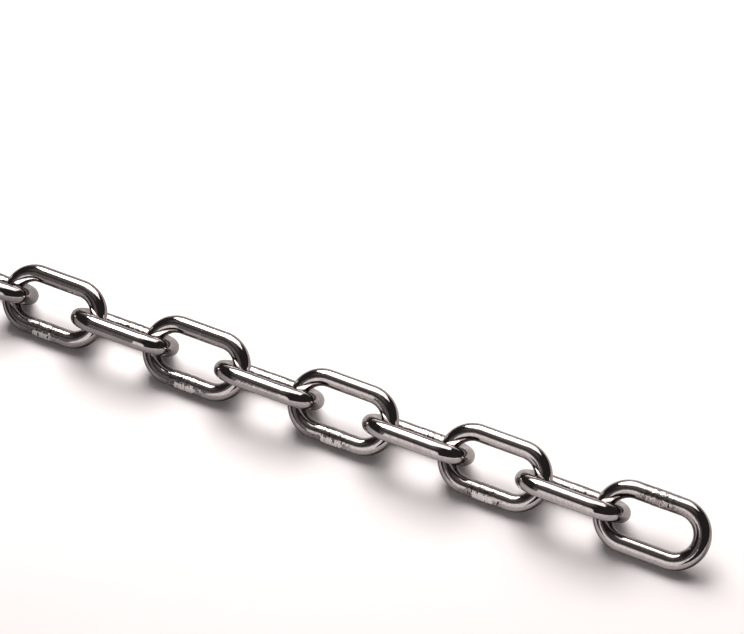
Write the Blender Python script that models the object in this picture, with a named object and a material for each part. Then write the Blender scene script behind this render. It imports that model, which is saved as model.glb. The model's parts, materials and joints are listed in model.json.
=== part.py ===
"""A one-metre length of welded round steel chain, lying straight on a level surface.

Every link is the same ring of round wire with two straight bars and two half-round crowns, butt
welded in the middle of one bar. The links lean on each other, one to each side in turn, so that
each one stands on one of its bars. +X runs along the chain to its free end, +Y is away from the
viewer, +Z is up, and the origin is under the middle of the chain.
"""
from math import cos, pi, radians, sin

import bpy

# Driving dimensions, in metres
WIRE = 0.008  # diameter of the round wire
INNER_LENGTH = 0.037  # clear length inside a link
OUTER_WIDTH = 0.032  # across a link, over both of its bars
WELD_LENGTH = 0.005  # full thickness of the weld, along its bar
WELD_TAPER = 0.0015  # from the weld's full thickness down to the plain bar
WELD_SWELL = 0.0002  # by which the weld stands proud of the wire all round
CONTACT_GAP = 0.0003  # between two crowns that bear on each other

# Pattern
LINK_COUNT = 27  # odd, so that both end links lean the same way
LEAN = radians(45)  # of each link's plane to the surface that it lies on
WELD_UP_LINKS = (1,)  # these lie with the welded bar on top, all others on the welded bar

# Facets of the round wire and of the crowns
BEVEL_RESOLUTION = 6  # 16 flats, so that one faces along the link, one across it and one the floor
WIRE_SIDES = 4 + 2 * BEVEL_RESOLUTION
CROWN_STEPS = 4  # in each quarter of a crown

# Sizes that follow
WIRE_RADIUS = WIRE / 2
BEND_RADIUS = (OUTER_WIDTH - WIRE) / 2  # of a crown, to the middle of the wire
CROWN_REACH = (INNER_LENGTH + WIRE) / 2  # from a link's middle to the wire of its crown
BAR_HALF = CROWN_REACH - BEND_RADIUS  # half of a straight bar
LINK_SPACING = INNER_LENGTH - CONTACT_GAP
PIVOT_REACH = LINK_SPACING - CROWN_REACH  # from a link's middle to the crown wire that it swings on
CHAIN_LENGTH = (LINK_COUNT - 1) * LINK_SPACING + INNER_LENGTH + 2 * WIRE
FIRST_MIDDLE = CHAIN_LENGTH / 2 - CROWN_REACH - WIRE_RADIUS  # X of the free end link's middle
REST_HEIGHT = BEND_RADIUS * sin(LEAN) + WIRE_RADIUS + WELD_SWELL  # of every link's middle

NEAR, FAR = -1, 1  # sides of a link, along its own Y


def clear_scene():
    for thing in list(bpy.data.objects):
        bpy.data.objects.remove(thing, do_unlink=True)


def polished_steel():
    """Bright drawn stainless wire, tumbled until it mirrors its surroundings."""
    material = bpy.data.materials.new("polished_steel")
    material.use_nodes = True
    shader = material.node_tree.nodes["Principled BSDF"]
    shader.inputs["Base Color"].default_value = (0.60, 0.58, 0.56, 1.0)
    shader.inputs["Metallic"].default_value = 1.0
    shader.inputs["Roughness"].default_value = 0.18
    return material


def crown_points(end):
    """Half circle at one end of a link, as X, Y and thickness: end is 1 at +X and -1 at -X.

    The points stand just outside the true arc, on the corners of a polygon that touches it, so the
    link keeps its length and width and has a flat at the very end.
    """
    step = pi / 2 / CROWN_STEPS
    corner = BEND_RADIUS / cos(step / 2)
    points = []
    for i in range(2 * CROWN_STEPS):
        angle = (i + 0.5) * step - pi / 2
        points.append((end * (BAR_HALF + corner * cos(angle)), end * corner * sin(angle), 1.0))
    return points


def weld_points(side):
    """Swollen stretch in the middle of the bar on one side, with a taper at each end."""
    full = WELD_LENGTH / 2
    plain = full + WELD_TAPER
    swollen = 1 + WELD_SWELL / WIRE_RADIUS
    across = side * BEND_RADIUS
    stretch = ((plain, 1.0), (full, swollen), (-full, swollen), (-plain, 1.0))
    return [(side * along, across, thickness) for along, thickness in stretch]


def link_shape(name, weld_side, steel):
    """The closed ring of wire, flat in XY, with its origin on the crown that it swings on."""
    curve = bpy.data.curves.new(name, "CURVE")
    curve.dimensions = "3D"
    curve.twist_mode = "Z_UP"
    curve.fill_mode = "FULL"
    curve.bevel_resolution = BEVEL_RESOLUTION
    half_facet = pi / WIRE_SIDES
    curve.bevel_depth = WIRE_RADIUS / cos(half_facet)  # so that the flats touch the round wire
    curve.materials.append(steel)

    ring = crown_points(1)
    if weld_side == FAR:
        ring += weld_points(FAR)
    ring += crown_points(-1)
    if weld_side == NEAR:
        ring += weld_points(NEAR)

    spline = curve.splines.new("POLY")
    spline.points.add(len(ring) - 1)
    spline.use_cyclic_u = True
    for point, (x, y, thickness) in zip(spline.points, ring):
        point.co = (x - PIVOT_REACH, y, 0.0, 1.0)
        point.radius = thickness
        point.tilt = half_facet
    return curve


def build_chain():
    """All links in a row, numbered from the free end at +X."""
    collection = bpy.data.collections.new("steel_chain")
    bpy.context.scene.collection.children.link(collection)
    steel = polished_steel()
    shapes = {side: link_shape(f"ring_weld_{label}", side, steel)
              for side, label in ((NEAR, "near"), (FAR, "far"))}

    for number in range(1, LINK_COUNT + 1):
        leans_away = number % 2 == 1  # the far bar is up, and the near bar is on the floor
        floor_side = NEAR if leans_away else FAR
        weld_side = -floor_side if number in WELD_UP_LINKS else floor_side
        link = bpy.data.objects.new(f"link_{number:02d}", shapes[weld_side])
        middle = FIRST_MIDDLE - (number - 1) * LINK_SPACING
        link.location = (middle + PIVOT_REACH, 0.0, REST_HEIGHT)
        link.rotation_euler = (LEAN if leans_away else -LEAN, 0.0, 0.0)
        collection.objects.link(link)


clear_scene()
build_chain()
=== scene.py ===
"""Look of the steel chain: every link is made again as smooth drawn wire with its butt weld, and the
chain lies on a pale floor under one large soft light, seen from the photograph's viewing angle.
"""
import json
from math import cos, pi, radians, sin

import bpy
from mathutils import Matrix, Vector

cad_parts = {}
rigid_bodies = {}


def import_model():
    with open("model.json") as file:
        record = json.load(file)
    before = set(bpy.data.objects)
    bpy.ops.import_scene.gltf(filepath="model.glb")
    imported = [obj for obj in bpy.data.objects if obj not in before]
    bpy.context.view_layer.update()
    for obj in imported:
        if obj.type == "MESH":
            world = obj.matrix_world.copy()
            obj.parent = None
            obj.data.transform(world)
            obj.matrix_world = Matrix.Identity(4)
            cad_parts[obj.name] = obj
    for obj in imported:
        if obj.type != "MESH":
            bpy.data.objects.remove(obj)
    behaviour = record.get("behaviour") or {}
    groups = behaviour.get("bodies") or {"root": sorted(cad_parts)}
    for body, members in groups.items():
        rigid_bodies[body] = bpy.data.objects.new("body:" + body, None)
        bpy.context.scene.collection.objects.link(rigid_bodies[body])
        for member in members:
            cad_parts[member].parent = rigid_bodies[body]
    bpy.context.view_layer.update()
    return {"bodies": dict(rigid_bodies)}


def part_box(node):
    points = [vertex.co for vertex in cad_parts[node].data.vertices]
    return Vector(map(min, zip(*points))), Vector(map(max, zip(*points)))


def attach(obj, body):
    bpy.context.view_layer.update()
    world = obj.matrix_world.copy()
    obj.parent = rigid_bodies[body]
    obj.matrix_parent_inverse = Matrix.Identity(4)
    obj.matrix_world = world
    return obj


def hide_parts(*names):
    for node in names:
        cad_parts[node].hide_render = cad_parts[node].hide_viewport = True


MM = 0.001

# Sizes of a link, in metres, as in the part's source
WIRE = 8.0 * MM  # diameter
INNER_LENGTH = 37.0 * MM
OUTER_WIDTH = 32.0 * MM
WELD_LENGTH = 5.0 * MM
WELD_TAPER = 1.5 * MM  # from the weld's full thickness down to the plain bar
WELD_SWELL = 0.2 * MM  # by which the weld stands proud of the wire
LEAN = radians(45)  # of each link's plane to the floor
WELD_UP_LINKS = (1,)  # these lie with the welded bar on top, all others on the welded bar

# What wire drawing, bending and welding leave, in metres
BEND_ERROR = 0.10 * MM  # of the wire's middle line, to either side
BEND_ERROR_SIZE = 25.0 * MM
RIPPLE = 0.035 * MM  # slow waves in the surface, which make the reflections wander
RIPPLE_SIZE = 7.0 * MM
WELD_LUMP = 0.20 * MM  # depth of the dips between the lumps of a trimmed weld
WELD_LUMP_SIZE = 1.8 * MM
SEAM_DEPTH = 0.06 * MM  # of the line where the wire's two ends met
SEAM_WIDTH = 0.5 * MM  # to either side
SEAM_WANDER = 0.8 * MM  # of that line, to either side

# The side of the weld that was ground. Its angle is from the outside of the ring, round the wire's section,
# and below 0 towards the ring's upper face. A link with its weld on top was ground less, on the inside of
# the ring and from the other end, and that whole side is drawn darker
GROUND_SIDE = -52  # degrees
GROUND_EDGES = (0.87, 0.92)  # cosines of the angle from there, at the outer and inner edge
WELL_GROUND = {"Ground Side": radians(GROUND_SIDE), "Ground Depth": 1.0, "Ground Way": 1.0, "Darker Side": 0.0}
LESS_GROUND = {"Ground Side": radians(-180 - GROUND_SIDE), "Ground Depth": 0.46, "Ground Way": -1.0,
               "Darker Side": 0.6}

# Faces of a link
STEPS_ALONG = 288
STEPS_ROUND = 40
CIRCLE_STEPS = 256  # of the path that the ring follows
CROWDING = 0.6  # share by which the faces at the weld are shorter than the average

# Finish of the wire: sizes and depths in metres. A pattern is drawn out in the direction in which its
# coordinates are multiplied by a PULL
DING_SIZE, DING_DEPTH = 1.2 * MM, 0.02 * MM
DRAW_LINE_SIZE, DRAW_LINE_DEPTH, DRAW_LINE_PULL = 0.7 * MM, 0.012 * MM, 0.04
GRIND_MARK_SIZE, GRIND_MARK_DEPTH, GRIND_MARK_PULL = 0.7 * MM, 0.08 * MM, 0.15
JAW_MARK_SIZE, JAW_MARK_DEPTH = 2.2 * MM, 0.12 * MM
NICK_SIZE, NICK_DEPTH = 1.4 * MM, 0.06 * MM
WELD_SCALE_SIZE, WELD_SCALE_DEPTH = 0.8 * MM, 0.08 * MM
PORE_SIZE, PORE_PULL = 1.3 * MM, 0.45
HAZE_SIZE = 5.0 * MM
DUST_PATCH_SIZE = 9.0 * MM
LINK_TO_LINK = 0.03  # of a point's place is added to the marks by its weld, so that each link has its own

# Along the bar from the weld's middle, in metres: where the ground patch, the dull stretch on its left
# and the jaw marks begin and are complete
PATCH_LEFT = (-3.3 * MM, -2.7 * MM)
PATCH_RIGHT = (8.4 * MM, 5.8 * MM)
DULL_LEFT = (-16.0 * MM, -11.0 * MM)
JAWS = (10.5 * MM, 7.0 * MM)
TORN = 5.0 * MM  # the patch's ends lie up to this much further left, by turns
TORN_SIZE = 3.0 * MM

# Levels of a pattern at which a mark begins to show and is complete
FROST_LEVELS = (0.78, 1.02)
FROST_BY_MARKS = 0.6  # height of the grinding marks on the patch, which tear its edge
NICK_LEVELS = (0.035, 0.010)  # distance of the nicks' pattern from its middle value
NICKED_LEVELS = (0.50, 0.56)  # of the jaw marks: below them there are no nicks
DUST_LEVELS = (0.58, 0.84)
DUST_BY_PATCHES = 0.35  # height of the broad patches in the pattern of the pores

# How rough and how dusty the wire is
GLOSS = (0.05, 0.10)  # roughness of tumbled wire, from place to place
FROST = 0.45  # by which the ground patch is rougher
DUST = (0.3, 0.8)  # dust on the dull stretch, and on the darker side
DULL = 0.55  # dust on the dull stretch

# Colours, as sRGB
TUMBLED_STEEL = "#B9B4B2"
DUSTY_STEEL = "#625C5A"
FROSTY_STEEL = ("#FCF8F5", "#D4D0CC")  # crests and hollows of the grinding marks
# painted shade inside the nicks
NICK_SHADE = "#191716"
SWEEP_WHITE = ("#EDEBEA", "#F1EFEE")  # where its mottle is low and high
SWEEP_SHADED = "#535150"  # painted shade: the board as the steel mirrors it in front of and under the chain
SWEEP_MIRRORED = "#C0BDBC"  # painted shade: the board as the steel mirrors it behind the chain, darker than to the eye
# colour of the painted light that the steel mirrors from the board
SWEEP_TINT = "#FFF7F8"
BACKDROP_WHITE = "#FFFFFF"
LIGHT_TINT = "#FFF9F8"
ROOM = "#332F30"
CEILING = "#75706F"
BACKDROP = "#AFA8A6"

# Camera, from the fit of the nine whole links to the photograph
AZIMUTH = radians(25.3)
ELEVATION = radians(48.5)
FOCUS = Vector((0.3131, 0.0664, 0.0))  # the point of the floor at the picture's middle
DISTANCE = 1.2707
SENSOR = 36.0  # its width, in millimetres
LENS = 132.76  # focal length, in millimetres

# The sweep, in metres
SWEEP_REACH = 12.0  # half of its width
MOTTLE_SIZE = 60 * MM
LIT_MIDDLE = Vector((0.2, 0.0, 0.0))  # of the stretch that the lights reach, where there is no painted glow
LIT_SHAPE = Vector((0.45, 1.0, 0.0))  # its width is this share of its length along the chain
LIT_WIDTH = 0.22  # half of it; from here outwards a painted glow fades the sweep to plain white
FADED_WIDTH = 0.5

# Painted shade and painted light on the sweep, which only the steel mirrors, by the distance from the
# chain's middle line, in metres
SHADE_REACH = 80 * MM  # in front, to where its painted light has brightness 1
SHADE_CURVE = 0.22  # the lower, the closer to the chain its shade stays
SHADE_LIMIT = 1.10
UNDER_FRONT = (10 * MM, 16 * MM)  # in front: painted shade as dark as under the chain, and clear of it
UNDER_BACK = (-14 * MM, 10 * MM)  # behind, in the same way, and below 0 still in front
BRIGHTER_RIGHT = (0.10, 0.45)  # along the chain, from its left to its free end, where the painted light is brighter
BRIGHTNESS = (0.33, 0.86)  # at those two places

# A Mix node's sockets that share a name, by their number
FACTOR = 0
NUMBER_A, NUMBER_B = 2, 3
COLOUR_A, COLOUR_B = 6, 7
MIXED_COLOUR = 2  # among its outputs


def linear(colour, alpha=1.0):
    """A colour written as sRGB hex, in the linear values that Blender works with."""
    values = [int(colour[i:i + 2], 16) / 255 for i in (1, 3, 5)]
    return tuple(v / 12.92 if v <= 0.04045 else ((v + 0.055) / 1.055) ** 2.4 for v in values) + (alpha,)


def add(tree, kind, inputs=None, **settings):
    """Adds one node. An input takes a value, or a node or socket that is linked to it."""
    node = tree.nodes.new(kind)
    for name, value in settings.items():
        setattr(node, name, value)
    for key, value in (inputs or {}).items():
        if isinstance(value, bpy.types.Node):
            value = value.outputs[0]
        if isinstance(value, bpy.types.NodeSocket):
            tree.links.new(value, node.inputs[key])
        else:
            node.inputs[key].default_value = value
    return node


def link_tree():
    """A link of round wire, as its maker forms it: a ring with its weld, leant and put in its place."""
    tree = bpy.data.node_groups.new("link_of_round_wire", "GeometryNodeTree")
    for name, kind in (("Wire", "Float"), ("Inner Length", "Float"), ("Outer Width", "Float"),
                       ("Weld Length", "Float"), ("Weld Taper", "Float"), ("Weld Swell", "Float"),
                       ("Bend Error", "Float"), ("Ripple", "Float"), ("Weld Lump", "Float"),
                       ("Seam Depth", "Float"), ("Ground Side", "Float"), ("Ground Depth", "Float"),
                       ("Ground Way", "Float"), ("Darker Side", "Float"),
                       ("Steps Along", "Int"), ("Steps Round", "Int"), ("Seed", "Float"),
                       ("Turn", "Float"), ("Lean", "Float"), ("Middle", "Vector"), ("Steel", "Material")):
        tree.interface.new_socket(name, in_out="INPUT", socket_type=f"NodeSocket{kind}")
    tree.interface.new_socket("Link", in_out="OUTPUT", socket_type="NodeSocketGeometry")
    given = add(tree, "NodeGroupInput").outputs
    place = add(tree, "GeometryNodeInputPosition")
    index = add(tree, "GeometryNodeInputIndex")

    # Sizes that follow
    radius = add(tree, "ShaderNodeMath", {0: given["Wire"], 1: 0.5}, operation="MULTIPLY")
    half_width = add(tree, "ShaderNodeMath", {0: given["Outer Width"], 1: 0.5}, operation="MULTIPLY")
    bend = add(tree, "ShaderNodeMath", {0: half_width, 1: radius}, operation="SUBTRACT")
    half_length = add(tree, "ShaderNodeMath", {0: given["Inner Length"], 1: 0.5}, operation="MULTIPLY")
    reach = add(tree, "ShaderNodeMath", {0: half_length, 1: radius}, operation="ADD")
    bar_half = add(tree, "ShaderNodeMath", {0: reach, 1: bend}, operation="SUBTRACT")

    # A circle pulled apart into two crowns and two bars; it starts in the middle of the welded bar
    circle = add(tree, "GeometryNodeCurvePrimitiveCircle", {"Resolution": CIRCLE_STEPS, "Radius": bend})
    split = add(tree, "ShaderNodeSeparateXYZ", {0: place})
    end = add(tree, "ShaderNodeMath", {0: split.outputs["Y"]}, operation="SIGN")
    pulled = add(tree, "ShaderNodeMath", {0: end, 1: bar_half, 2: split.outputs["Y"]},
                 operation="MULTIPLY_ADD")
    across = add(tree, "ShaderNodeMath", {0: split.outputs["X"], 1: -1.0}, operation="MULTIPLY")
    oval = add(tree, "ShaderNodeCombineXYZ", {"X": pulled, "Y": across})
    path = add(tree, "GeometryNodeSetPosition", {"Geometry": circle, "Position": oval})

    # The ring's own points follow that path, close together at the weld and wide apart opposite it
    turn_part = add(tree, "ShaderNodeMath", {0: index, 1: given["Steps Along"]}, operation="DIVIDE")
    angle = add(tree, "ShaderNodeMath", {0: turn_part, 1: 2 * pi}, operation="MULTIPLY")
    wave = add(tree, "ShaderNodeMath", {0: angle}, operation="SINE")
    eased = add(tree, "ShaderNodeMath", {0: wave, 1: -CROWDING / (2 * pi), 2: turn_part},
                operation="MULTIPLY_ADD")
    sampled = add(tree, "GeometryNodeSampleCurve", {"Curves": path, "Factor": eased}, mode="FACTOR")
    ring = add(tree, "GeometryNodeCurvePrimitiveCircle",
               {"Resolution": given["Steps Along"], "Radius": bend})
    ring = add(tree, "GeometryNodeSetPosition",
               {"Geometry": ring, "Position": sampled.outputs["Position"]})

    # Distance from the weld's middle along the wire, below 0 on its left
    length = add(tree, "GeometryNodeCurveLength", {"Curve": path})
    past_half = add(tree, "ShaderNodeMath", {0: eased, 1: 0.5}, operation="GREATER_THAN")
    signed = add(tree, "ShaderNodeMath", {0: eased, 1: past_half}, operation="SUBTRACT")
    along = add(tree, "ShaderNodeMath", {0: signed, 1: length}, operation="MULTIPLY")
    ring = add(tree, "GeometryNodeStoreNamedAttribute", {"Geometry": ring, "Name": "along", "Value": along})

    # No bend is quite true: each link's middle line wanders by about a tenth of a millimetre
    wander = add(tree, "ShaderNodeTexNoise",
                 {"Vector": place, "W": given["Seed"], "Scale": 1 / BEND_ERROR_SIZE, "Detail": 1.0},
                 noise_dimensions="4D")
    wander = add(tree, "ShaderNodeVectorMath", {0: wander.outputs["Color"], 1: (0.5, 0.5, 0.5)},
                 operation="SUBTRACT")
    wander = add(tree, "ShaderNodeVectorMath", {0: wander, "Scale": given["Bend Error"]},
                 operation="SCALE")
    ring = add(tree, "GeometryNodeSetPosition", {"Geometry": ring, "Offset": wander})

    # The weld: 1 over its full length, down to 0 at the ends of its tapers
    run = add(tree, "GeometryNodeInputNamedAttribute", {"Name": "along"}, data_type="FLOAT")
    from_weld = add(tree, "ShaderNodeMath", {0: run}, operation="ABSOLUTE")
    full = add(tree, "ShaderNodeMath", {0: given["Weld Length"], 1: 0.5}, operation="MULTIPLY")
    plain = add(tree, "ShaderNodeMath", {0: full, 1: given["Weld Taper"]}, operation="ADD")
    weld = add(tree, "ShaderNodeMapRange",
               {"Value": from_weld, "From Min": plain, "From Max": full}, interpolation_type="SMOOTHSTEP")
    swell = add(tree, "ShaderNodeMath", {0: given["Weld Swell"], 1: radius}, operation="DIVIDE")
    thickness = add(tree, "ShaderNodeMath", {0: weld, 1: swell, 2: 1.0}, operation="MULTIPLY_ADD")
    ring = add(tree, "GeometryNodeStoreNamedAttribute", {"Geometry": ring, "Name": "weld", "Value": weld})

    # The wire round that ring; "round" is the place on the wire's section
    section = add(tree, "GeometryNodeCurvePrimitiveCircle",
                  {"Resolution": given["Steps Round"], "Radius": radius})
    section = add(tree, "GeometryNodeStoreNamedAttribute",
                  {"Geometry": section, "Name": "round", "Value": place}, data_type="FLOAT_VECTOR")
    wire = add(tree, "GeometryNodeCurveToMesh",
               {"Curve": ring, "Profile Curve": section, "Scale": thickness})

    # The side of the weld that was ground, how deep, in which direction along the wire, and how much darker
    # that whole side is drawn
    round_place = add(tree, "GeometryNodeInputNamedAttribute", {"Name": "round"}, data_type="FLOAT_VECTOR")
    facing = add(tree, "ShaderNodeVectorMath", {0: round_place}, operation="NORMALIZE")
    side_x = add(tree, "ShaderNodeMath", {0: given["Ground Side"]}, operation="COSINE")
    side_y = add(tree, "ShaderNodeMath", {0: given["Ground Side"]}, operation="SINE")
    side = add(tree, "ShaderNodeCombineXYZ", {"X": side_x, "Y": side_y})
    near_side = add(tree, "ShaderNodeVectorMath", {0: facing, 1: side}, operation="DOT_PRODUCT")
    ground = add(tree, "ShaderNodeMapRange",
                 {"Value": near_side.outputs["Value"], "From Min": GROUND_EDGES[0],
                  "From Max": GROUND_EDGES[1]}, interpolation_type="SMOOTHSTEP")
    depth = add(tree, "ShaderNodeMath", {0: ground, 1: given["Ground Depth"]}, operation="MULTIPLY")
    darker_side = add(tree, "ShaderNodeMath", {0: ground, 1: given["Darker Side"]}, operation="MULTIPLY")
    way = add(tree, "ShaderNodeMath", {0: run, 1: given["Ground Way"]}, operation="MULTIPLY")
    for name, value in (("ground", depth), ("darker_side", darker_side), ("ground_run", way)):
        wire = add(tree, "GeometryNodeStoreNamedAttribute",
                   {"Geometry": wire, "Name": name, "Value": value})

    # Slow waves all over, dips between the lumps of the weld, and the sunk line of its seam
    waves = add(tree, "ShaderNodeTexNoise",
                {"Vector": place, "W": given["Seed"], "Scale": 1 / RIPPLE_SIZE, "Detail": 1.0},
                noise_dimensions="4D")
    waves = add(tree, "ShaderNodeMath", {0: waves, 1: 1.0}, operation="SUBTRACT")
    waves = add(tree, "ShaderNodeMath", {0: waves, 1: given["Ripple"]}, operation="MULTIPLY")
    lumps = add(tree, "ShaderNodeTexNoise",
                {"Vector": place, "W": given["Seed"], "Scale": 1 / WELD_LUMP_SIZE, "Detail": 2.0},
                noise_dimensions="4D")
    ragged = add(tree, "ShaderNodeMath", {0: lumps, 1: 2 * SEAM_WANDER, 2: -SEAM_WANDER},
                 operation="MULTIPLY_ADD")
    from_seam = add(tree, "ShaderNodeMath", {0: run, 1: ragged}, operation="ADD")
    from_seam = add(tree, "ShaderNodeMath", {0: from_seam}, operation="ABSOLUTE")
    seam = add(tree, "ShaderNodeMapRange",
               {"Value": from_seam, "From Min": SEAM_WIDTH, "From Max": 0.0},
               interpolation_type="SMOOTHSTEP")
    dips = add(tree, "ShaderNodeMath", {0: lumps, 1: 1.0}, operation="SUBTRACT")
    dips = add(tree, "ShaderNodeMath", {0: dips, 1: given["Weld Lump"]}, operation="MULTIPLY")
    weld_here = add(tree, "GeometryNodeInputNamedAttribute", {"Name": "weld"}, data_type="FLOAT")
    lift = add(tree, "ShaderNodeMath", {0: dips, 1: weld_here, 2: waves}, operation="MULTIPLY_ADD")
    sunk = add(tree, "ShaderNodeMath", {0: seam, 1: given["Seam Depth"]}, operation="MULTIPLY")
    lift = add(tree, "ShaderNodeMath", {0: lift, 1: sunk}, operation="SUBTRACT")
    outward = add(tree, "GeometryNodeInputNormal")
    move = add(tree, "ShaderNodeVectorMath", {0: outward, "Scale": lift}, operation="SCALE")
    wire = add(tree, "GeometryNodeSetPosition", {"Geometry": wire, "Offset": move})

    # The weld is turned to its side, the ring leant, and the link put in its place
    turn = add(tree, "ShaderNodeCombineXYZ", {"Z": given["Turn"]})
    wire = add(tree, "GeometryNodeTransform", {"Geometry": wire, "Rotation": turn})
    lean = add(tree, "ShaderNodeCombineXYZ", {"X": given["Lean"]})
    wire = add(tree, "GeometryNodeTransform",
               {"Geometry": wire, "Rotation": lean, "Translation": given["Middle"]})
    wire = add(tree, "GeometryNodeSetShadeSmooth", {"Geometry": wire})
    wire = add(tree, "GeometryNodeRealizeInstances", {"Geometry": wire})
    wire = add(tree, "GeometryNodeSetMaterial", {"Geometry": wire, "Material": given["Steel"]})
    add(tree, "NodeGroupOutput", {"Link": wire})
    return tree


def chain_link(number, tree, steel):
    """One finished link as a plain mesh, in the place of its CAD node."""
    name = f"link_{number:02d}"
    low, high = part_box(name)
    leans_away = number % 2 == 1  # the far bar is up, and the near bar is on the floor
    weld_up = number in WELD_UP_LINKS
    weld_far = leans_away == weld_up
    height = (OUTER_WIDTH - WIRE) / 2 * sin(LEAN) + WIRE / 2 + WELD_SWELL
    values = {
        "Wire": WIRE, "Inner Length": INNER_LENGTH, "Outer Width": OUTER_WIDTH,
        "Weld Length": WELD_LENGTH, "Weld Taper": WELD_TAPER, "Weld Swell": WELD_SWELL,
        "Bend Error": BEND_ERROR, "Ripple": RIPPLE, "Weld Lump": WELD_LUMP, "Seam Depth": SEAM_DEPTH,
        "Steps Along": STEPS_ALONG, "Steps Round": STEPS_ROUND, "Seed": float(number),
        "Turn": pi if weld_far else 0.0, "Lean": LEAN if leans_away else -LEAN,
        "Middle": ((low.x + high.x) / 2, 0.0, height), "Steel": steel,
    }
    values.update(LESS_GROUND if weld_up else WELL_GROUND)
    maker = bpy.data.objects.new(f"maker_{number:02d}", bpy.data.meshes.new("empty"))
    bpy.context.scene.collection.objects.link(maker)
    modifier = maker.modifiers.new("link_of_round_wire", "NODES")
    modifier.node_group = tree
    for socket in tree.interface.items_tree:
        if socket.name in values:
            modifier[socket.identifier] = values[socket.name]
    shape = bpy.data.meshes.new_from_object(maker.evaluated_get(bpy.context.evaluated_depsgraph_get()))
    bpy.data.objects.remove(maker, do_unlink=True)
    shape.name = f"wire_{name}"

    link = bpy.data.objects.new(f"wire_{name}", shape)
    bpy.context.scene.collection.objects.link(link)
    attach(link, name)
    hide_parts(name)


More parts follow.
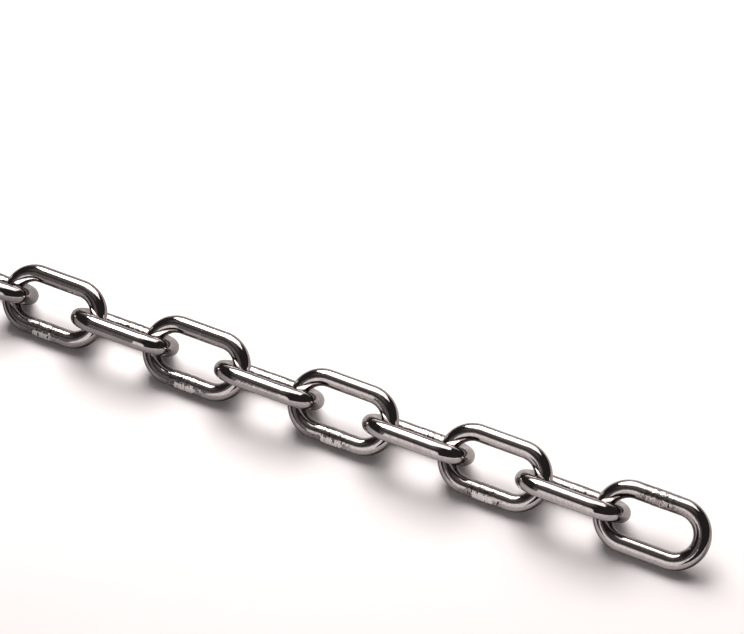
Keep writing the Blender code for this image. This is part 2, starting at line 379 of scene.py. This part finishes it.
def tumbled_stainless_wire():
    """Stainless wire, drawn, bent, butt welded and tumbled in steel balls until it mirrors the room."""
    material = bpy.data.materials.new("tumbled_stainless_wire")
    material.use_nodes = True
    tree = material.node_tree
    shader = tree.nodes["Principled BSDF"]
    shader.inputs["Metallic"].default_value = 1.0

    place = add(tree, "ShaderNodeTexCoord").outputs["Object"]
    ground, weld, along, ground_run, darker_side = (
        add(tree, "ShaderNodeAttribute", attribute_name=name).outputs["Fac"]
        for name in ("ground", "weld", "along", "ground_run", "darker_side"))
    section = add(tree, "ShaderNodeAttribute", attribute_name="round").outputs["Vector"]
    down_the_wire = add(tree, "ShaderNodeCombineXYZ", {"Z": along})

    # Tumbling leaves shallow dings all over, half a millimetre wide, drawn twice as wide to show
    dings = add(tree, "ShaderNodeTexNoise", {"Vector": place, "Scale": 1 / DING_SIZE, "Detail": 2.0})
    skin = add(tree, "ShaderNodeBump", {"Strength": 1.0, "Distance": DING_DEPTH, "Height": dings})

    # The draw plate's lines run along the wire, nearly tumbled away. They are finer than a tenth of a
    # millimetre, and drawn wide enough to show
    drawn = add(tree, "ShaderNodeVectorMath",
                {0: down_the_wire, 1: (DRAW_LINE_PULL,) * 3, 2: section}, operation="MULTIPLY_ADD")
    lines = add(tree, "ShaderNodeTexNoise", {"Vector": drawn, "Scale": 1 / DRAW_LINE_SIZE, "Detail": 2.0})
    skin = add(tree, "ShaderNodeBump",
               {"Strength": 1.0, "Distance": DRAW_LINE_DEPTH, "Height": lines, "Normal": skin})

    # The grinder took one side of the weld down to a frosty patch with a torn edge. Its marks run across
    # the wire, finer than a tenth of a millimetre, and are drawn wide enough to show
    across = add(tree, "ShaderNodeVectorMath",
                 {0: section, 1: (GRIND_MARK_PULL, GRIND_MARK_PULL, 0.0), 2: down_the_wire},
                 operation="MULTIPLY_ADD")
    across = add(tree, "ShaderNodeVectorMath", {0: place, 1: (LINK_TO_LINK,) * 3, 2: across},
                 operation="MULTIPLY_ADD")
    marks = add(tree, "ShaderNodeTexNoise",
                {"Vector": across, "Scale": 1 / GRIND_MARK_SIZE, "Detail": 3.0})
    ragged = add(tree, "ShaderNodeTexNoise",
                 {"Vector": place, "Scale": 1 / TORN_SIZE, "Detail": 4.0, "Roughness": 0.65})
    shifted = add(tree, "ShaderNodeMath", {0: ragged, 1: TORN, 2: ground_run}, operation="MULTIPLY_ADD")
    left = add(tree, "ShaderNodeMapRange",
               {"Value": shifted, "From Min": PATCH_LEFT[0], "From Max": PATCH_LEFT[1]})
    right = add(tree, "ShaderNodeMapRange",
                {"Value": shifted, "From Min": PATCH_RIGHT[0], "From Max": PATCH_RIGHT[1]})
    patch = add(tree, "ShaderNodeMath", {0: left, 1: right}, operation="MULTIPLY")
    patch = add(tree, "ShaderNodeMath", {0: patch, 1: ground}, operation="MULTIPLY")
    torn = add(tree, "ShaderNodeMath", {0: marks, 1: FROST_BY_MARKS, 2: patch}, operation="MULTIPLY_ADD")
    frosted = add(tree, "ShaderNodeMapRange",
                  {"Value": torn, "From Min": FROST_LEVELS[0], "From Max": FROST_LEVELS[1]})
    skin = add(tree, "ShaderNodeBump",
               {"Strength": patch, "Distance": GRIND_MARK_DEPTH, "Height": marks, "Normal": skin})

    # The welder's jaws press shallow marks into the bar, up to 10 mm from the weld on either side
    from_weld = add(tree, "ShaderNodeMath", {0: along}, operation="ABSOLUTE")
    jaws = add(tree, "ShaderNodeMapRange", {"Value": from_weld, "From Min": JAWS[0], "From Max": JAWS[1]},
               interpolation_type="SMOOTHSTEP")
    pressed = add(tree, "ShaderNodeTexNoise",
                  {"Vector": place, "Scale": 1 / JAW_MARK_SIZE, "Detail": 2.0})
    skin = add(tree, "ShaderNodeBump",
               {"Strength": jaws, "Distance": JAW_MARK_DEPTH, "Height": pressed, "Normal": skin})

    # Where the jaws held the wire, short nicks run across it, with painted shade, black, inside them: the
    # thin places where the pattern passes its middle value, kept only here and there
    level = add(tree, "ShaderNodeTexNoise", {"Vector": across, "Scale": 1 / NICK_SIZE, "Detail": 1.0})
    level = add(tree, "ShaderNodeMath", {0: level, 1: 0.5}, operation="SUBTRACT")
    level = add(tree, "ShaderNodeMath", {0: level}, operation="ABSOLUTE")
    nicks = add(tree, "ShaderNodeMapRange",
                {"Value": level, "From Min": NICK_LEVELS[0], "From Max": NICK_LEVELS[1]})
    broken = add(tree, "ShaderNodeMapRange",
                 {"Value": pressed, "From Min": NICKED_LEVELS[0], "From Max": NICKED_LEVELS[1]})
    nicks = add(tree, "ShaderNodeMath", {0: nicks, 1: broken}, operation="MULTIPLY")
    nicks = add(tree, "ShaderNodeMath", {0: nicks, 1: jaws}, operation="MULTIPLY")
    skin = add(tree, "ShaderNodeBump",
               {"Strength": 1.0, "Distance": NICK_DEPTH, "Height": nicks, "Normal": skin}, invert=True)

    # The rest of the weld is lumpy but as bright as the wire
    scale = add(tree, "ShaderNodeTexNoise", {"Vector": place, "Scale": 1 / WELD_SCALE_SIZE, "Detail": 2.0})
    skin = add(tree, "ShaderNodeBump",
               {"Strength": weld, "Distance": WELD_SCALE_DEPTH, "Height": scale, "Normal": skin})

    # Tumbled wire is a little hazy in places, and the ground patch far rougher
    haze = add(tree, "ShaderNodeTexNoise", {"Vector": place, "Scale": 1 / HAZE_SIZE, "Detail": 2.0})
    gloss = add(tree, "ShaderNodeMapRange", {"Value": haze, "To Min": GLOSS[0], "To Max": GLOSS[1]})
    rough = add(tree, "ShaderNodeMath", {0: frosted, 1: FROST, 2: gloss}, operation="MULTIPLY_ADD")

    # On one side of the ground patch the wire stayed dull, and on a link with its weld on top the whole
    # ground side is drawn darker
    dull = add(tree, "ShaderNodeMapRange",
               {"Value": shifted, "From Min": PATCH_LEFT[1], "From Max": PATCH_LEFT[0]})
    fade = add(tree, "ShaderNodeMapRange",
               {"Value": ground_run, "From Min": DULL_LEFT[0], "From Max": DULL_LEFT[1]})
    dull = add(tree, "ShaderNodeMath", {0: dull, 1: fade}, operation="MULTIPLY")
    dull = add(tree, "ShaderNodeMath", {0: dull, 1: ground}, operation="MULTIPLY")
    dull = add(tree, "ShaderNodeMath", {0: dull, 1: darker_side}, operation="MAXIMUM")

    # Pores drawn out along the wire hold a little grey tumbling dust, and far more where the jaws held
    # it. They are a tenth of a millimetre wide, and drawn wide enough to show
    pores = add(tree, "ShaderNodeVectorMath", {0: down_the_wire, 1: (PORE_PULL,) * 3, 2: section},
                operation="MULTIPLY_ADD")
    pores = add(tree, "ShaderNodeVectorMath", {0: pores, 1: place}, operation="ADD")
    dust = add(tree, "ShaderNodeTexNoise",
               {"Vector": pores, "Scale": 1 / PORE_SIZE, "Detail": 3.0, "Roughness": 0.7})
    patches = add(tree, "ShaderNodeTexNoise",
                  {"Vector": place, "Scale": 1 / DUST_PATCH_SIZE, "Detail": 1.0})
    dust = add(tree, "ShaderNodeMath", {0: patches, 1: DUST_BY_PATCHES, 2: dust}, operation="MULTIPLY_ADD")
    dust = add(tree, "ShaderNodeMapRange",
               {"Value": dust, "From Min": DUST_LEVELS[0], "From Max": DUST_LEVELS[1]})
    caught = add(tree, "ShaderNodeMapRange", {"Value": jaws, "To Min": DUST[0], "To Max": DUST[1]})
    dust = add(tree, "ShaderNodeMath", {0: dust, 1: caught}, operation="MULTIPLY")
    dust = add(tree, "ShaderNodeMath", {0: dull, 1: DULL, 2: dust}, operation="MULTIPLY_ADD",
               use_clamp=True)

    # Grey steel, white frost on the ground patch, and black painted shade in the nicks
    steel = add(tree, "ShaderNodeMix",
                {FACTOR: dust, COLOUR_A: linear(TUMBLED_STEEL), COLOUR_B: linear(DUSTY_STEEL)},
                data_type="RGBA").outputs[MIXED_COLOUR]
    frost = add(tree, "ShaderNodeMix",
                {FACTOR: marks, COLOUR_A: linear(FROSTY_STEEL[0]), COLOUR_B: linear(FROSTY_STEEL[1])},
                data_type="RGBA").outputs[MIXED_COLOUR]
    colour = add(tree, "ShaderNodeMix", {FACTOR: frosted, COLOUR_A: steel, COLOUR_B: frost},
                 data_type="RGBA").outputs[MIXED_COLOUR]
    colour = add(tree, "ShaderNodeMix", {FACTOR: nicks, COLOUR_A: colour, COLOUR_B: linear(NICK_SHADE)},
                 data_type="RGBA").outputs[MIXED_COLOUR]

    tree.links.new(rough.outputs[0], shader.inputs["Roughness"])
    tree.links.new(skin.outputs[0], shader.inputs["Normal"])
    tree.links.new(colour, shader.inputs["Base Color"])
    return material


def matt_white_sweep():
    """Painted board, matt white. To the eye it fades to plain white away from the chain by a painted glow,
    as a lit sweep does in a photograph. The steel mirrors it as a grey with painted shade, darkest in front
    of the chain and under it, and with painted light that grows with the distance in front.
    """
    material = bpy.data.materials.new("matt_white_sweep")
    material.use_nodes = True
    tree = material.node_tree
    shader = tree.nodes["Principled BSDF"]
    shader.inputs["Roughness"].default_value = 0.8
    place = add(tree, "ShaderNodeTexCoord").outputs["Object"]
    ray = add(tree, "ShaderNodeLightPath").outputs["Is Camera Ray"]

    # What the eye sees: white with a faint mottle, and a painted glow away from the chain
    mottle = add(tree, "ShaderNodeTexNoise", {"Vector": place, "Scale": 1 / MOTTLE_SIZE, "Detail": 2.0})
    white = add(tree, "ShaderNodeMix",
                {FACTOR: mottle, COLOUR_A: linear(SWEEP_WHITE[0]), COLOUR_B: linear(SWEEP_WHITE[1])},
                data_type="RGBA").outputs[MIXED_COLOUR]
    away = add(tree, "ShaderNodeVectorMath", {0: place, 1: LIT_MIDDLE}, operation="SUBTRACT")
    away = add(tree, "ShaderNodeVectorMath", {0: away, 1: LIT_SHAPE}, operation="MULTIPLY")
    away = add(tree, "ShaderNodeVectorMath", {0: away}, operation="LENGTH")
    glow = add(tree, "ShaderNodeMapRange",
               {"Value": away.outputs["Value"], "From Min": LIT_WIDTH, "From Max": FADED_WIDTH},
               interpolation_type="SMOOTHSTEP")

    # What the steel mirrors: painted light that grows with the distance in front, painted shade under the
    # chain, and a paler board behind, all brighter towards the free end
    spot = add(tree, "ShaderNodeSeparateXYZ", {0: place})
    ahead = add(tree, "ShaderNodeMath", {0: spot.outputs["Y"], 1: -SHADE_REACH}, operation="DIVIDE")
    clear = add(tree, "ShaderNodeMapRange",
                {"Value": ahead, "From Min": UNDER_FRONT[0] / SHADE_REACH,
                 "From Max": UNDER_FRONT[1] / SHADE_REACH}, interpolation_type="SMOOTHSTEP")
    front = add(tree, "ShaderNodeMath", {0: ahead, 1: SHADE_CURVE}, operation="POWER")
    front = add(tree, "ShaderNodeMath", {0: front, 1: SHADE_LIMIT}, operation="MINIMUM")
    front = add(tree, "ShaderNodeMath", {0: front, 1: clear}, operation="MULTIPLY")
    behind = add(tree, "ShaderNodeMapRange",
                 {"Value": spot.outputs["Y"], "From Min": UNDER_BACK[0], "From Max": UNDER_BACK[1]})
    brighter = add(tree, "ShaderNodeMapRange",
                   {"Value": spot.outputs["X"], "From Min": BRIGHTER_RIGHT[0],
                    "From Max": BRIGHTER_RIGHT[1], "To Min": BRIGHTNESS[0], "To Max": BRIGHTNESS[1]},
                   interpolation_type="SMOOTHSTEP")
    mirrored = add(tree, "ShaderNodeMath", {0: front, 1: brighter}, operation="MULTIPLY")
    pale = add(tree, "ShaderNodeMath", {0: behind, 1: brighter}, operation="MULTIPLY")
    grey = add(tree, "ShaderNodeMix",
               {FACTOR: pale, COLOUR_A: linear(SWEEP_SHADED), COLOUR_B: linear(SWEEP_MIRRORED)},
               data_type="RGBA").outputs[MIXED_COLOUR]

    colour = add(tree, "ShaderNodeMix", {FACTOR: ray, COLOUR_A: grey, COLOUR_B: white}, data_type="RGBA")
    tree.links.new(colour.outputs[MIXED_COLOUR], shader.inputs["Base Color"])
    shine = add(tree, "ShaderNodeMix", {FACTOR: ray, NUMBER_A: mirrored, NUMBER_B: glow})
    tree.links.new(shine.outputs[0], shader.inputs["Emission Strength"])
    tint = add(tree, "ShaderNodeMix",
               {FACTOR: ray, COLOUR_A: linear(SWEEP_TINT), COLOUR_B: linear(BACKDROP_WHITE)},
               data_type="RGBA")
    tree.links.new(tint.outputs[MIXED_COLOUR], shader.inputs["Emission Color"])
    return material


def table_top():
    """The floor that the chain lies on, one flat square."""
    mesh = bpy.data.meshes.new("table_top")
    corners = [(x * SWEEP_REACH, y * SWEEP_REACH, 0) for x, y in ((-1, -1), (1, -1), (1, 1), (-1, 1))]
    mesh.from_pydata(corners, [], [(0, 1, 2, 3)])
    mesh.materials.append(matt_white_sweep())
    top = bpy.data.objects.new("table_top", mesh)
    bpy.context.scene.collection.objects.link(top)


def direction(azimuth, elevation):
    """Towards a point of the sky: azimuth from +Y to +X, in degrees."""
    a, e = radians(azimuth), radians(elevation)
    return Vector((sin(a) * cos(e), cos(a) * cos(e), sin(e)))


def soft_light(name, centre, away, width, height, radiance):
    """An even rectangle of light with its width level. Its back looks in the direction away."""
    light = bpy.data.lights.new(name, "AREA")
    light.shape = "RECTANGLE"
    light.size = width
    light.size_y = height
    light.energy = radiance * pi * width * height
    light.color = linear(LIGHT_TINT)[:3]
    lamp = bpy.data.objects.new(name, light)
    lamp.location = centre
    lamp.rotation_euler = (-away).to_track_quat("-Z", "Y").to_euler()
    lamp.visible_camera = False
    bpy.context.scene.collection.objects.link(lamp)


def studio():
    """A soft box that leans over the chain from behind, hottest on its left, and a dim card in front.

    The card is bright enough to show in the steel as a pale stripe, and darker at its left and at its
    top, which leans towards the chain.
    """
    over, upright, leaning = direction(-33, 60), direction(180, 0), direction(180, 35)
    soft_light("soft_box", (0.32, 0.575, 0.745), over, width=1.10, height=0.86, radiance=2.5)
    soft_light("soft_box_lamp", (0.045, 0.46, 0.67), over, width=0.61, height=0.55, radiance=8.1)
    soft_light("front_card", (0.265, -1.3, 0.42), upright, width=0.85, height=0.84, radiance=1.30)
    soft_light("front_card_edge", (-0.36, -1.3, 0.42), upright, width=0.40, height=0.84, radiance=0.17)
    soft_light("front_card_top", (-0.20, -1.3, 1.10), leaning, width=1.50, height=0.52, radiance=0.13)


def dim_room():
    """White to the eye. To the steel a dark room with a pale ceiling and a pale backdrop, which begin and
    are complete where the angle from their middle has the cosines edge and middle.
    """
    world = bpy.data.worlds.new("dim_room")
    bpy.context.scene.world = world
    world.use_nodes = True
    tree = world.node_tree
    tree.nodes.clear()
    sky = add(tree, "ShaderNodeTexCoord").outputs["Generated"]
    room = linear(ROOM)
    for towards, edge, middle, colour in ((direction(-115, 76), 0.86, 0.98, CEILING),
                                          (direction(-15, 8), 0.78, 0.95, BACKDROP)):
        near = add(tree, "ShaderNodeVectorMath", {0: sky, 1: towards}, operation="DOT_PRODUCT")
        near = add(tree, "ShaderNodeMapRange",
                   {"Value": near.outputs["Value"], "From Min": edge, "From Max": middle})
        room = add(tree, "ShaderNodeMix", {FACTOR: near, COLOUR_A: room, COLOUR_B: linear(colour)},
                   data_type="RGBA").outputs[MIXED_COLOUR]
    dim = add(tree, "ShaderNodeBackground", {"Color": room, "Strength": 1.0})
    pale = add(tree, "ShaderNodeBackground", {"Color": linear(BACKDROP_WHITE), "Strength": 1.0})
    ray = add(tree, "ShaderNodeLightPath").outputs["Is Camera Ray"]
    shown = add(tree, "ShaderNodeMixShader", {0: ray, 1: dim, 2: pale})
    add(tree, "ShaderNodeOutputWorld", {"Surface": shown})


def photograph_camera():
    """A long lens, at the photograph's viewing angle and distance."""
    camera = bpy.data.objects.new("camera", bpy.data.cameras.new("camera"))
    camera.data.sensor_width = SENSOR
    camera.data.lens = LENS
    back = Vector((sin(AZIMUTH) * cos(ELEVATION), -cos(AZIMUTH) * cos(ELEVATION), sin(ELEVATION)))
    camera.location = FOCUS + back * DISTANCE
    camera.rotation_euler = (-back).to_track_quat("-Z", "Y").to_euler()
    bpy.context.scene.collection.objects.link(camera)
    bpy.context.scene.camera = camera


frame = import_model()

steel = tumbled_stainless_wire()
tree = link_tree()
for number in range(1, len(frame["bodies"]) + 1):
    chain_link(number, tree, steel)

table_top()
studio()
dim_room()
photograph_camera()
bpy.context.scene.view_settings.view_transform = "Standard"
